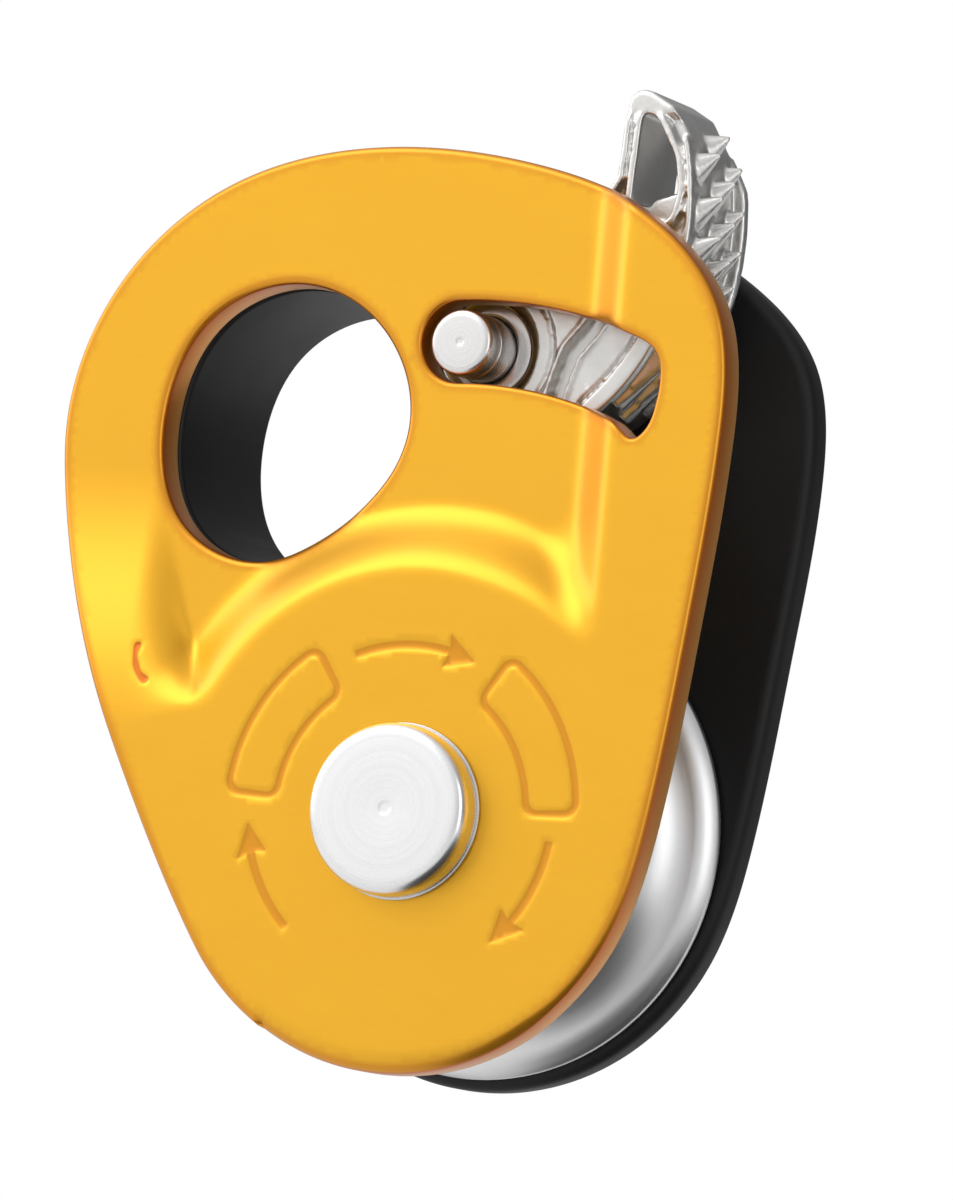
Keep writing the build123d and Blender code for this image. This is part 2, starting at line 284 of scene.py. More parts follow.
def makeTurningGroup():  # rings about the Y axis, and along it
    g, enter, leave = newTree("ShaderNodeTree", "turningMarks", [
        ("Vector", "Vector", None), ("Rings per metre", "Float", 2600.0)], [("Height", "Float")])
    x, y, z = addNode(g, "ShaderNodeSeparateXYZ", Vector=enter["Vector"]).outputs
    square = mathNode(g, "ADD", mathNode(g, "MULTIPLY", x, x), mathNode(g, "MULTIPLY", z, z))
    rings = enter["Rings per metre"]
    join = addNode(g, "ShaderNodeCombineXYZ", X=mathNode(g, "MULTIPLY", mathNode(g, "SQRT", square), rings),
                   Y=mathNode(g, "MULTIPLY", y, rings))
    g.links.new(noiseNode(g, join.outputs[0], 1.0, 4.0, 0.65), leave["Height"])
    return g


def makeEdgeGroup():  # 1 on sharp outer edges, broken up by noise
    g, enter, leave = newTree("ShaderNodeTree", "wornEdge", [
        ("Vector", "Vector", None), ("Start", "Float", 0.53), ("End", "Float", 0.62)], [("Mask", "Float")])
    point = g.nodes.new("ShaderNodeNewGeometry").outputs["Pointiness"]
    span = addNode(g, "ShaderNodeMapRange", Value=point, From_Min=enter["Start"], From_Max=enter["End"])
    patch = noiseNode(g, enter["Vector"], 900.0, 3.0, 0.6)
    broken = mathNode(g, "MULTIPLY", span.outputs["Result"], mathNode(g, "ADD", patch, 0.45))
    g.links.new(broken, leave["Mask"])
    return g


grainGroup = makeGrainGroup()
turningGroup = makeTurningGroup()
edgeGroup = makeEdgeGroup()


# Finishes

def newFinish(name):
    m = bpy.data.materials.new(name)
    m.use_nodes = True
    tree = m.node_tree
    coords = tree.nodes.new("ShaderNodeTexCoord").outputs["Object"]
    return m, tree, tree.nodes["Principled BSDF"], coords


def grouped(tree, group, **inputs):
    n = tree.nodes.new("ShaderNodeGroup")
    n.node_tree = group
    return fed(tree, n, inputs)


def mixColour(tree, mask, a, b):
    n = tree.nodes.new("ShaderNodeMix")
    n.data_type = "RGBA"
    for index, value in ((0, mask), (6, a), (7, b)):  # the factor and the two colours
        feed(tree, (*value, 1) if isinstance(value, tuple) else value, n.inputs[index])
    return n.outputs[2]


def spread(tree, value, low, high):  # a 0 to 1 value as low to high
    return addNode(tree, "ShaderNodeMapRange", Value=value, To_Min=low, To_Max=high).outputs["Result"]


def dress(tree, shader, colour, rough, metallic, height, bump, deep=0.00002):
    fed(tree, shader, {"Base Color": colour, "Roughness": rough, "Metallic": metallic})
    relief = addNode(tree, "ShaderNodeBump", Strength=bump, Distance=deep, Height=height)
    tree.links.new(relief.outputs["Normal"], shader.inputs["Normal"])


goldFinish = {
    "light": (0.90, 0.47, 0.020),
    "deep": (0.85, 0.42, 0.014),
    # edge: the colour of the painted shade on the rims, the engraved marks and the crease
    "edge": (0.60, 0.15, 0.004),
    "mottling": 0.45,
    "metal": 0.80,
    "roughLow": 0.30,
    "roughHigh": 0.40,
    "grainBump": 0.10,
    "coat": 0.35,
    "coatRoughness": 0.24,
}


def makeGold():
    f = goldFinish
    m, tree, shader, coords = newFinish("goldAnodised")
    grain = grouped(tree, grainGroup, Vector=coords, Mottling=f["mottling"])
    mask = grain.outputs["Mask"]
    # painted shade: the per-point attribute darkens the grain colour towards the 'edge' colour
    rim = tree.nodes.new("ShaderNodeAttribute")
    rim.attribute_name = "paintedShade"
    colour = mixColour(tree, rim.outputs["Fac"], mixColour(tree, mask, f["deep"], f["light"]), f["edge"])
    dress(tree, shader, colour, spread(tree, mask, f["roughLow"], f["roughHigh"]), f["metal"],
          grain.outputs["Height"], f["grainBump"])
    fed(tree, shader, {"Coat Weight": f["coat"], "Coat Roughness": f["coatRoughness"]})
    return m


blackFinish = {
    "base": (0.0070, 0.0070, 0.0076),
    "edge": (0.045, 0.045, 0.048),
    "roughLow": 0.44,
    "roughHigh": 0.56,
    "blastBump": 0.25,
    "wearFrom": 0.54,
    "wearFull": 0.66,
    "specular": 0.32,
}


def makeBlack():
    f = blackFinish
    m, tree, shader, coords = newFinish("blackAnodised")
    worn = grouped(tree, edgeGroup, Vector=coords, Start=f["wearFrom"], End=f["wearFull"]).outputs["Mask"]
    blast = noiseNode(tree, coords, 6500.0, 2.0, 0.6)
    patch = noiseNode(tree, coords, 160.0, 3.0, 0.55)
    dress(tree, shader, mixColour(tree, worn, f["base"], f["edge"]),
          spread(tree, patch, f["roughLow"], f["roughHigh"]), 0.0, blast, f["blastBump"])
    shader.inputs["Specular IOR Level"].default_value = f["specular"]
    return m


def makeTurned(name, colour, rough, ringBump, z=0.0, rings=2600.0):
    m, tree, shader, coords = newFinish(name)
    centred = stretched(tree, coords, (1, 1, 1), (0, 0, -z * mm))
    marks = grouped(tree, turningGroup, Vector=centred, Rings_per_metre=rings).outputs["Height"]
    dark = tuple(c * 0.86 for c in colour)
    dress(tree, shader, mixColour(tree, marks, dark, colour), spread(tree, marks, rough * 0.75, rough * 1.3),
          1.0, marks, ringBump)
    return m


castFinish = {
    "dark": (0.56, 0.55, 0.53),
    "light": (0.78, 0.77, 0.75),
    "edge": (0.93, 0.92, 0.90),
    "wearFrom": 0.50,
    "wearFull": 0.62,
    "roughLow": 0.24,
    "roughHigh": 0.42,
    "skinBump": 0.28,
    "skinDeep": 0.00004,
}


def makeCast():
    f = castFinish
    m, tree, shader, coords = newFinish("castStainless")
    skin = noiseNode(tree, coords, 2600.0, 4.0, 0.62)
    patch = noiseNode(tree, coords, 420.0, 3.0, 0.5)
    worn = grouped(tree, edgeGroup, Vector=coords, Start=f["wearFrom"], End=f["wearFull"]).outputs["Mask"]
    colour = mixColour(tree, worn, mixColour(tree, patch, f["dark"], f["light"]), f["edge"])
    dress(tree, shader, colour, spread(tree, skin, f["roughLow"], f["roughHigh"]), 1.0, skin, f["skinBump"],
          f["skinDeep"])
    return m


def makePorous(name, scale, roughness, colours, rough, metallic):  # one noise for colour, shine and relief
    m, tree, shader, coords = newFinish(name)
    pores = noiseNode(tree, coords, scale, 3.0, roughness)
    dress(tree, shader, mixColour(tree, pores, *colours), spread(tree, pores, *rough), metallic, pores, 0.2)
    return m


gold = makeGold()
black = makeBlack()
turnedAxle = makeTurned("turnedAxle", (0.95, 0.95, 0.95), 0.27, 0.35)
turnedCamAxle = makeTurned("turnedCamAxle", (0.66, 0.65, 0.64), 0.24, 0.45, pivotZ, 3600.0)
turnedButton = makeTurned("turnedButton", (0.86, 0.85, 0.84), 0.27, 0.45, pivotZ, 3600.0)
polished = makeTurned("polishedSheave", (0.96, 0.96, 0.965), 0.38, 0.14, 0.0, 1500.0)
groundSteel = makeTurned("groundSteel", (0.70, 0.70, 0.71), 0.15, 0.10)
springWire = makeTurned("springWire", (0.52, 0.52, 0.53), 0.25, 0.10, pivotZ)
castSteel = makeCast()
nylonColours = ((0.016, 0.016, 0.017), (0.030, 0.030, 0.032))
bronzeColours = ((0.32, 0.19, 0.08), (0.62, 0.42, 0.20))
nylon = makePorous("mouldedNylon", 3000.0, 0.6, nylonColours, (0.45, 0.60), 0.0)
bronze = makePorous("sinteredBronze", 5200.0, 0.7, bronzeColours, (0.30, 0.50), 1.0)
print("finishes made")


# Sheet pieces: outlines with holes, filled with triangles, given relief and rounded rims

def offsetLoop(loop, inset):  # the left side of every loop is the material's side
    return loop + leftNormals(loop) * inset


def roundRim(radius, steps=4):  # (inset, drop) from the face down to the wall
    turns = [pi / 2 * k / steps for k in range(steps, -1, -1)]
    return [(radius * (1 - cos(t)), radius * (1 - sin(t))) for t in turns]


def filled(loops, guides, spacing, keepOff):
    points, edges = [], []
    for loop in loops + guides:
        first, count = len(points), len(loop)
        points += [tuple(p) for p in loop]
        edges += [(first + k, first + (k + 1) % count) for k in range(count)]
    low, high = loops[0].min(0), loops[0].max(0)
    gx, gz = np.meshgrid(np.arange(low[0], high[0], spacing), np.arange(low[1], high[1], spacing))
    gx[::2] += spacing / 2
    gx, gz = gx.ravel(), gz.ravel()
    free = insideLoop(loops[0], gx, gz)
    gx, gz = gx[free], gz[free]
    free = distanceTo(np.vstack(loops + guides), gx, gz) > keepOff
    points += list(zip(gx[free], gz[free]))
    verts, _, faces, _, _, _ = delaunay_2d_cdt([Vector(p) for p in points], edges, [], 0, 1e-5)
    flat = np.array([(v.x, v.y) for v in verts])
    faces = np.array(faces)
    middle = flat[faces].mean(1)
    kept = insideLoop(loops[0], middle[:, 0], middle[:, 1])
    for hole in loops[1:]:
        kept &= ~insideLoop(hole, middle[:, 0], middle[:, 1])
    return flat, faces[kept]


def sheetShell(rims, front, back, guides=(), spacing=0.5, guard=0.14):
    # rims is a list of (loop, front rim, back rim); front and back give the depth at (x, z)
    # also returns a per-point amount of painted shade along the rims
    verts, faces, paintedShade = [], [], []
    for side, depth in ((1, front), (2, back)):
        inner = [offsetLoop(rim[0], rim[side][0][0]) for rim in rims]
        lines = [offsetLoop(rim[0], rim[side][0][0] + guard) for rim in rims]
        extra = list(guides) if side == 1 else []
        flat, tris = filled(inner, lines + extra, spacing, 0.55 * min(spacing, 0.4))
        first = len(verts)
        y = depth(flat[:, 0], flat[:, 1])
        verts += list(zip(flat[:, 0], y, flat[:, 1]))
        # painted shade: the face darkens over the last 0.35 mm before its rounded rim
        sharp = np.minimum.reduce([distanceTo(line, flat[:, 0], flat[:, 1]) for line in inner])
        paintedShade += list(0.45 * smoothStep(1 - sharp / 0.35))
        faces += [tuple(first + c for c in (t if side == 1 else t[::-1])) for t in tris]
    for loop, frontRim, backRim in rims:
        rings = []
        for inset, drop in frontRim:
            p = offsetLoop(loop, inset)
            rings.append(np.stack([p[:, 0], front(p[:, 0], p[:, 1]) + drop, p[:, 1]], 1))
        for inset, drop in backRim[::-1]:
            p = offsetLoop(loop, inset)
            rings.append(np.stack([p[:, 0], back(p[:, 0], p[:, 1]) - drop, p[:, 1]], 1))
        # painted shade on the rim: a dark line where the front rounding meets the wall, and the rest of the
        # rim at 0.45
        count, shadeRing = len(loop), len(frontRim) - 2
        for ring, (a, b) in enumerate(zip(rings, rings[1:])):
            first = len(verts)
            verts += list(a) + list(b)
            for k in (ring, ring + 1):
                paintedShade += [1.0 if k in (shadeRing, shadeRing + 1) else 0.45] * count
            for k in range(count):
                on = (k + 1) % count
                faces.append((first + k, first + on, first + count + on, first + count + k))
    return verts, faces, paintedShade


def sheetPiece(name, rims, front, back, material, spacing, guard=0.14):
    verts, faces, _ = sheetShell(rims, front, back, (), spacing, guard)
    return facesOut(newPiece(name, verts, faces, material), 2e-6)


def level(depth):
    return lambda x, z: np.full(len(x), float(depth))


def circle(radius, x=0.0, z=0.0, count=96):
    return np.array(arcPoints(radius, 0, 360, count + 1, x, z)[:-1])


# Outlines shared by both side plates

plateOutline = {
    "bottomRadius": 19.2,
    "bottomArc": (212, 338),
    "side": [(19.7, 0.0), (21.7, 15.0), (22.9, 28.0), (21.6, 38.5), (15.5, 44.8), (4.5, 48.8), (-8.0, 49.7),
             (-20.0, 46.6), (-28.3, 39.3), (-32.0, 29.0), (-30.4, 18.5), (-25.4, 6.5)],
    "cornerDrop": {3: 2.0, 4: 2.0, 5: 1.0},  # the black plate's top right corner is lower
    "hole": (-13.6, 28.8),
    "holeAngles": [0, 45, 90, 135, 180, 225, 262, 292, 320, 340],
    "holeRadii": [10.0, 10.2, 10.4, 10.3, 10.1, 11.1, 10.6, 9.5, 9.2, 9.6],
}


def outlineLoop(dropped, spacing=0.38):
    side = []
    for i, (x, z) in enumerate(plateOutline["side"]):
        side.append((x, z - dropped * plateOutline["cornerDrop"].get(i, 0.0)))
    arc = arcPoints(plateOutline["bottomRadius"], *plateOutline["bottomArc"], 24)
    return turnedWay(smoothLoop(arc + side, spacing), True)


def holeLoop(grow=0.0, spacing=0.3):
    x, z = plateOutline["hole"]
    spokes = zip(plateOutline["holeAngles"], plateOutline["holeRadii"])
    points = [(x + (r + grow) * cos(radians(a)), z + (r + grow) * sin(radians(a))) for a, r in spokes]
    return turnedWay(smoothLoop(points, spacing), False)


# Gold swing plate: pressed to two levels, with the slot and the engraved marks

goldPlate = {
    "edge": 0.5,
    "step": 3.0,
    "arcMiddle": 20.5,
    "arcWidth": 5.7,
    "flankMiddle": 12.4,
    "flankWidth": 4.6,
    "flankFrom": (4.0, 8.0),  # where the slope starts to narrow, and over how much
    "blend": 3.2,
    "leftLevel": 8.0,
    "leftRise": 7.0,
    "leftBend": (-17.5, -24.5),
    "leftWidths": (2.6, 20.0),
    "leftOf": -10.0,
    "crease": [(-23.0, 11.6), (-23.1, 10.8), (-22.9, 9.9), (-22.45, 9.15), (-21.8, 8.7)],
    "creaseHalf": [0.11, 0.14, 0.19, 0.19, 0.13],
    "creaseDeep": 0.03,
    "slotRadius": pivotZ,
    "slotHalf": 3.1,
    "slotTopTurn": 64.9,
    "slotLowTurn": 63.9,
    "slotLift": 0.035,
    "slotEnd": [(15.0, 28.75), (15.9, 28.2), (16.8, 28.8), (17.5, 30.6), (17.7, 33.0), (17.2, 34.6)],
    "bushHole": 5.8,
    "engraved": 0.07,
    "cutSoft": 0.12,  # width over which the edge of a cut falls
    "cutMiddle": 0.05,
    "markRadius": 12.3,
    "arrows": [(112, 66), (-7.6, -48.3), (226.8, 186.8)],  # start and end angles
    "frames": [(122.5, 177.5), (1.0, 57.0)],
    "frameAround": (9.9, 14.35),  # radii
    "frameWithin": (10.35, 13.9),
    "frameTurn": 2.1,
    "frameCorners": (1.1, 0.7),
    "bevelInset": 1.3,
    "bevelDrop": 0.10,
    "bevelFrom": (6.0, 10.0),  # the height where it starts, and over how much it grows
}


def slotLoop():
    g = goldPlate
    r, half = g["slotRadius"], g["slotHalf"]
    points = arcPoints(r + half, g["slotTopTurn"], 90, 14)
    points += arcPoints(half, 90, 270, 14, 0, pivotZ)[1:]
    points += arcPoints(r - half, 90, g["slotLowTurn"], 14)[1:]
    lifted = [(x, z + g["slotLift"] * max(0, x)) for x, z in points]
    return turnedWay(smoothLoop(lifted + g["slotEnd"], 0.25), False)


def arrowLoop(start, end, r, shaft=0.27, head=2.2, barb=1.2):  # clockwise arrow along a circle
    base = end + np.degrees(head / r)
    outer = arcPoints(r + shaft, start, base, 30)
    inner = arcPoints(r - shaft, base, start, 30)
    tips = ((r + barb, base + 1), (r, end), (r - barb, base + 1))
    barbs = [arcPoints(radius, angle, angle, 1)[0] for radius, angle in tips]
    return outlineOf(outer + barbs + inner, 0.16)


def sectorLoop(r0, r1, start, end, corner):  # part of a ring with rounded corners
    points = []
    for r, a, first in ((r1, end, 0), (r0, end, 90), (r0, start, 180), (r1, start, 270)):
        inwards = -1 if r == r1 else 1
        rc = r + inwards * corner
        turn = np.degrees(asin(corner / rc)) * (-1 if a == end else 1)
        x, z = rc * cos(radians(a + turn)), rc * sin(radians(a + turn))
        points += arcPoints(corner, a + first, a + first + 90, 7, x, z)
    return outlineOf(filledArcs(np.array(points)), 0.18)


def filledArcs(points):  # long gaps between corners follow circles about the sheave's axle
    out = []
    for p, q in zip(points, np.roll(points, -1, 0)):
        out.append(tuple(p))
        gap = hypot(*(q - p))
        if gap > 2.0:
            rp, rq = hypot(*p), hypot(*q)
            ap, aq = np.arctan2(p[1], p[0]), np.arctan2(q[1], q[0])
            turn = (aq - ap + pi) % tau - pi
            for t in np.linspace(0, 1, 24)[1:-1]:
                r, a = rp + (rq - rp) * t, ap + turn * t
                out.append((r * cos(a), r * sin(a)))
    return out


def creaseLoop(grow):  # outline of the short fold at the step's left end
    path = np.array(goldPlate["crease"])
    along = np.gradient(path, axis=0)
    along /= np.hypot(*along.T)[:, None]
    half = np.array(goldPlate["creaseHalf"]) + grow
    side = np.stack([-along[:, 1], along[:, 0]], 1) * half[:, None]
    return turnedWay(smoothLoop([*(path + side), *(path - side)[::-1]], 0.13), True)


def goldLevel(x, z):  # 0 where the plate stands forward, 1 where it is set back
    g = goldPlate
    arc = np.hypot(x, z) - g["arcMiddle"]
    flank = g["flankMiddle"] - x
    joined = smoothMin(arc, flank, g["blend"])
    start, over = g["flankFrom"]
    width = g["arcWidth"] + (g["flankWidth"] - g["arcWidth"]) * smoothStep((x - start) / over)
    upper = smoothStep(joined / width + 0.5)
    (bendStart, bendEnd), (narrow, wide) = g["leftBend"], g["leftWidths"]
    bent = smoothStep((bendStart - x) / (bendStart - bendEnd))
    middle = g["leftLevel"] + g["leftRise"] * bent
    left = smoothStep((z - middle) / (narrow + (wide - narrow) * bent) + 0.5)
    return upper * np.where(x < g["leftOf"], left, 1.0)


def makeGoldPlate():
    g = goldPlate
    outer, hole, slot = outlineLoop(0.0), holeLoop(), slotLoop()
    bush = turnedWay(circle(g["bushHole"]), False)
    cuts = [(arrowLoop(*ends, g["markRadius"]), None) for ends in g["arrows"]]
    turn, (corner, innerCorner) = g["frameTurn"], g["frameCorners"]
    for start, end in g["frames"]:
        cuts.append((sectorLoop(*g["frameAround"], start, end, corner),
                     sectorLoop(*g["frameWithin"], start + turn, end - turn, innerCorner)))
    guides, marks = [], []
    for around, within in cuts:
        guides += [around, offsetLoop(around, -g["cutSoft"])]
        marks.append([offsetLoop(around, -g["cutMiddle"])])
        if within is not None:
            guides += [within, offsetLoop(within, g["cutSoft"])]
            marks[-1].append(offsetLoop(within, g["cutMiddle"]))
    guides.append(offsetLoop(outer, g["bevelInset"]))
    fold = creaseLoop(0.06)
    guides += [creaseLoop(0.0), creaseLoop(0.14)]

    def engravedAt(x, z):
        sunk = np.zeros(len(x), bool)
        for around, *within in marks:
            inside = insideLoop(around, x, z)
            for island in within:
                inside &= ~insideLoop(island, x, z)
            sunk |= inside
        return sunk

    def front(x, z):
        y = goldFront + g["step"] * goldLevel(x, z)
        cutIn = g["engraved"] * engravedAt(x, z) + g["creaseDeep"] * insideLoop(fold, x, z)
        byRim = np.clip(1 - distanceTo(outer, x, z) / g["bevelInset"], 0, 1)
        start, over = g["bevelFrom"]
        return y + cutIn + g["bevelDrop"] * byRim * smoothStep((start - z) / over)

    def back(x, z):
        return goldFront + plateThick + g["step"] * goldLevel(x, z)

    rims = [(outer, roundRim(g["edge"]), roundRim(g["edge"])), (hole, roundRim(g["edge"]), roundRim(0.4)),
            (slot, roundRim(0.35), roundRim(0.3)), (bush, roundRim(0.1, 2), roundRim(0.1, 2))]
    verts, faces, paintedShade = sheetShell(rims, front, back, guides, 0.42)
    v = np.array(verts)
    # painted shade in the hollows: engraved marks half dark and the crease fully dark, on the front face only
    inFront = v[:, 1] < goldFront + plateThick / 2
    paintedShade = np.maximum(paintedShade, 0.5 * (engravedAt(v[:, 0], v[:, 2]) & inFront))
    paintedShade = np.maximum(paintedShade, 1.0 * (insideLoop(fold, v[:, 0], v[:, 2]) & inFront))
    return facesOut(newPiece("goldSidePlate", verts, faces, gold, paintedShade), 2e-6)


place(makeGoldPlate(), "swing_plate", "gold_plate", "swing_side_plate")
print("gold plate made")


# Black fixed plate, and the boss that lines the attachment hole

blackPlate = {
    "edge": 0.9,
    "rearEdge": 0.8,
    "bossWall": 3.6,
    "bossFront": -4.1,
    "ropeClear": 24.0,
    "hubClear": 6.2,
    "sweepClear": 15.0,
    "liner": 0.03,
    "tails": [(0.0, 3.4), (pivotZ, 3.0)],
    "tailFlare": 1.2,
    "bossInset": 0.35,  # the boss ends this far inside the plate's back
    "bossEdge": 0.45,
    "bossAngles": (20, 285),
    "thinnest": 1.2,
    "stopPin": (5.7, pivotZ + 9.15, 1.2),
}


def bossLoop():  # a C round the hole, cut away where the rope and the cam pass
    b = blackPlate
    cx, cz = plateOutline["hole"]
    inner, outer = holeLoop(-b["liner"], 0.2), holeLoop(b["bossWall"], 0.2)
    wallIn, wallOut = [], []
    walk = 0.05  # step outwards until the wall would be in the way
    for a in np.radians(np.arange(*b["bossAngles"], 2.0)):
        ray = np.array([cos(a), sin(a)])
        ends = []
        for loop in (inner, outer):
            along = (loop - (cx, cz)) @ ray
            off = np.abs((loop - (cx, cz)) @ np.array([-ray[1], ray[0]]))
            ends.append(along[np.argmin(off + 100 * (along < 0))])
        reach = ends[0]
        for r in np.arange(ends[0] + walk, ends[1], walk):
            x, z = cx + r * ray[0], cz + r * ray[1]
            toPivot = hypot(x, z - pivotZ)
            blocked = hypot(x, z) < b["ropeClear"] or toPivot < b["hubClear"]
            if blocked or (toPivot < b["sweepClear"] and z < pivotZ - 1):
                break
            reach = r
        if reach - ends[0] > b["thinnest"]:
            wallIn.append((cx + ends[0] * ray[0], cz + ends[0] * ray[1]))
            wallOut.append((cx + reach * ray[0], cz + reach * ray[1]))
    return outlineOf(wallOut + wallIn[::-1], 0.3)


def makeBlackPlate():
    b = blackPlate
    front, back = level(blackRear - plateThick), level(blackRear)
    flare = b["tailFlare"]
    rims = [(outlineLoop(1.0), roundRim(b["edge"], 5), roundRim(b["rearEdge"], 5)),
            (holeLoop(), roundRim(0.5), roundRim(0.6))]
    tight = [(0.05, 0), (0, 0.05)]
    for z, radius in b["tails"]:
        rims.append((turnedWay(circle(radius, 0, z), False), tight, [(flare, 0), (0, flare)]))
    x, z, radius = b["stopPin"]
    rims.append((turnedWay(circle(radius, x, z, 32), False), tight, tight))
    plate = sheetPiece("blackSidePlate", rims, front, back, black, 0.8)
    bossRims = [(bossLoop(), roundRim(b["bossEdge"]), roundRim(b["bossEdge"]))]
    bossBack = level(blackRear - b["bossInset"])
    boss = sheetPiece("bossShell", bossRims, level(b["bossFront"]), bossBack, black, 0.6, 0.1)
    fused(plate, boss)
    return plate


def fused(piece, other):  # one closed skin round both
    m = piece.modifiers.new("fuse", "BOOLEAN")
    m.operation, m.solver, m.object = "UNION", "EXACT", other
    applied(piece)
    bpy.data.objects.remove(other)


def applied(piece):  # the modifiers' result as the piece's own plain mesh
    depsgraph = bpy.context.evaluated_depsgraph_get()
    mesh = bpy.data.meshes.new_from_object(piece.evaluated_get(depsgraph))
    piece.modifiers.clear()
    piece.data = mesh
    mesh.polygons.foreach_set("use_smooth", [True] * len(mesh.polygons))
    return piece


place(makeBlackPlate(), "frame", "black_plate", "fixed_side_plate")
print("black plate made")


# Turned pieces: sheave, axle with its head and washer, cam axle and lock button

turnedSizes = {
    "flangeRadius": 18.4,
    "grooveBottom": 12.5,
    "grooveSection": 6.0,
    "halfWidth": 7.0,
    "faceStep": 0.12,
    "shoulder": 8.6,
    "bearingBore": 9.5,
    "bearingHalf": 3.0,
    "headRounding": 1.0,
    "buttonRadius": 2.5,
    "collarRadius": 3.75,
    "collarFront": -2.55,
    "ring": [(5.0, -10.45, 0), (5.0, -10.6, 0.04), (6.55, -10.6, 0.06), (6.55, -10.35, 0.06),
             (5.0, -10.35, 0.04), (5.0, -10.45, 0)],
}


def makeSheave():
    t = turnedSizes
    half, rim = t["halfWidth"], t["flangeRadius"]
    section, middle = t["grooveSection"], t["grooveBottom"] + t["grooveSection"]
    lip = sqrt(section ** 2 - (middle - rim) ** 2)
    groove = []
    for k in range(41):
        y = -lip + 2 * lip * k / 40
        groove.append((middle - sqrt(section ** 2 - y ** 2), y))
    step, shoulder, bearing = t["faceStep"], t["shoulder"], t["bearingHalf"]
    front = [(shoulder, 0.0, 0), (shoulder, -half, 0.25), (rim - 2.2, -half, 0.1),
             (rim - 2.0, -half + step, 0.1), (rim, -half + step, 0.3), (rim, -lip, 0)]
    rear = [(rim, lip, 0), (rim, half - step, 0.3), (rim - 2.0, half - step, 0.1), (rim - 2.2, half, 0.1),
            (t["bearingBore"], half, 0.25), (t["bearingBore"], -bearing, 0.05), (shoulder, -bearing, 0.05),
            (shoulder, 0.0, 0)]
    profile = rounded(front, 4) + groove[1:-1] + rounded(rear, 4)
    return turned("polishedWheel", profile, polished, around=220)


def makeAxle():
    front, radius = headLow.y, headHigh.x
    soft = turnedSizes["headRounding"]
    head = [(0.0, front + 0.10, 0), (0.35, front + 0.10, 0.1), (0.55, front + 0.03, 0.1), (2.6, front, 0.3),
            (radius - 0.05, front, soft), (radius, -10.62, 0.12), (5.0, -10.6, 0), (5.0, -7.2, 0.2),
            (4.0, -7.15, 0), (4.0, 7.3, 0), (3.4, 7.3, 0), (3.4, 9.1, 0), (4.6, 10.3, 0), (0.0, 10.3, 0)]
    return turned("roundHeadAxle", rounded(head, 7), turnedAxle, around=180)


def makeHeadWasher():
    # the darker cam axle finish here is painted shade beneath the axle head
    return turned("headRing", rounded(turnedSizes["ring"], 2), turnedCamAxle, around=140)


def makeCamAxle():
    t = turnedSizes
    f, r = t["collarFront"], t["collarRadius"]
    collar = [(2.56, f + 0.15, 0), (2.75, f, 0.1), (r, f, 0.22), (r, f + 0.42, 0.06),
              (r - 0.14, f + 0.50, 0.05), (r - 0.14, f + 0.95, 0)]
    shaft = [(3.4, f + 0.95, 0), (3.4, 7.3, 0), (3.0, 7.3, 0), (3.0, 9.1, 0), (4.2, 10.3, 0)]
    bore = [(2.1, 10.3, 0.1), (2.1, 8.9, 0), (1.25, 8.9, 0), (1.25, 3.6, 0), (2.56, 3.6, 0), (2.56, 0.0, 0)]
    corners = [(2.56, 0.0, 0)] + collar + shaft + bore
    return turned("hollowCamAxle", rounded(corners, 4), turnedCamAxle, 0, pivotZ, 120)


def makeButton():
    r, front = turnedSizes["buttonRadius"], buttonLow.y
    face = [(0.0, front + 0.06, 0), (0.22, front + 0.05, 0.08), (0.35, front, 0.05), (r, front, 0.62)]
    groove = [(r, -5.35, 0.05), (r - 0.08, -5.28, 0.05), (r - 0.08, -5.10, 0.05), (r, -5.03, 0.05)]
    stem = [(r, -0.4, 0.1), (1.2, -0.4, 0), (1.2, 8.9, 0), (0.95, 8.9, 0), (0.95, 9.4, 0), (1.2, 9.4, 0),
            (1.2, 9.7, 0.15), (0.0, 9.7, 0)]
    corners = face + groove + stem
    return turned("lockPin", rounded(corners, 6), turnedButton, 0, pivotZ, 120)


place(makeSheave(), "wheel", "sheave_metal", "sheave")
place(makeAxle(), "frame", "turned_steel", "axle")
place(makeHeadWasher(), "frame", "turned_steel", "head_washer")
place(makeCamAxle(), "frame", "turned_steel", "cam_axle")
place(makeButton(), "button", "turned_steel", "lock_button")
print("turned pieces made")


# Geometry Nodes trees: thorns along the cam's edge, balls round a circle, and wire along a line

def shapeTree(name, *inputs):
    sockets = [("Geometry", "Geometry", None), *inputs, ("Material", "Material", None)]
    return newTree("GeometryNodeTree", name, sockets, [("Geometry", "Geometry")])


def leaveAs(tree, geometry, enter, leave):
    real = addNode(tree, "GeometryNodeRealizeInstances", Geometry=geometry)
    paint = addNode(tree, "GeometryNodeSetMaterial", Geometry=real.outputs[0], Material=enter["Material"])
    tree.links.new(paint.outputs[0], leave[0])
    return tree


def grown(name, tree, values, base=None):  # the tree's result as a plain mesh piece
    piece = base or linked(name, bpy.data.meshes.new(name))
    m = piece.modifiers.new("made", "NODES")
    m.node_group = tree
    for item in tree.interface.items_tree:
        if item.item_type == "SOCKET" and item.in_out == "INPUT" and item.name in values:
            m[item.identifier] = values[item.name]
    return applied(piece)


